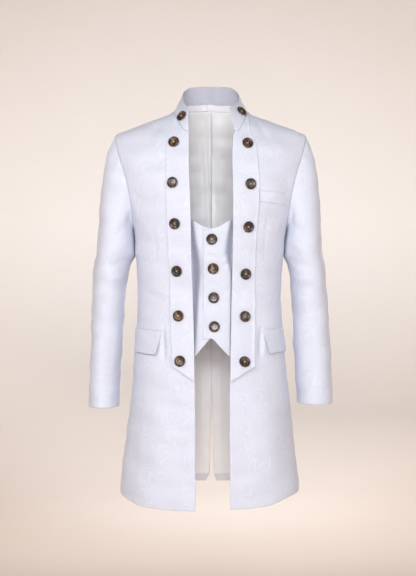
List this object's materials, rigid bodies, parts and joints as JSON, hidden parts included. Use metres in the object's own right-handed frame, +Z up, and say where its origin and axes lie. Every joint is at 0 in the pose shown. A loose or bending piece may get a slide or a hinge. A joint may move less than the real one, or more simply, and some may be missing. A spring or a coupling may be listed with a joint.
{
  "type": "frock coat",
  "caption": "Long fitted coat with a stand collar, wide buttoned front bands, an inset waistcoat front, long sleeves, pocket flaps and a flared, vented skirt, held open as worn.",
  "frame": {"origin": "inside the neck, midway between the seams where the collar meets the shoulders, where the wearer's neck and shoulders hold the coat up", "axes": "+Z up along the coat, -Y out of its front, +X to the wearer's left"},
  "size_m": [0.5941, 0.2987, 1.0229],
  "materials": {
    "brocade": "bluish-white tone-on-tone jacquard brocade with a soft sheen",
    "satin": "pale grey satin lining",
    "horn": "polished dark brown imitation horn"
  },
  "bodies": {
    "root": {"front_right": "brocade", "front_left": "brocade", "back_right": "brocade", "back_left": "brocade", "sleeve_right": "brocade", "sleeve_left": "brocade", "collar": "brocade", "band_right": "brocade", "band_left": "brocade", "flap_right": "brocade", "flap_left": "brocade", "breast_welt": "brocade", "waistcoat_right": "brocade", "waistcoat_left": "brocade", "lining_right": "satin", "lining_left": "satin", "neck_band": "satin", "neck_tab": "satin", "button_collar_right": "horn", "button_collar_left": "horn", "button_right_1": "horn", "button_right_2": "horn", "button_right_3": "horn", "button_right_4": "horn", "button_right_5": "horn", "button_right_6": "horn", "button_left_1": "horn", "button_left_2": "horn", "button_left_3": "horn", "button_left_4": "horn", "button_left_5": "horn", "button_left_6": "horn", "button_waistcoat_1": "horn", "button_waistcoat_2": "horn", "button_waistcoat_3": "horn", "button_waistcoat_4": "horn"}
  },
  "joints": []
}
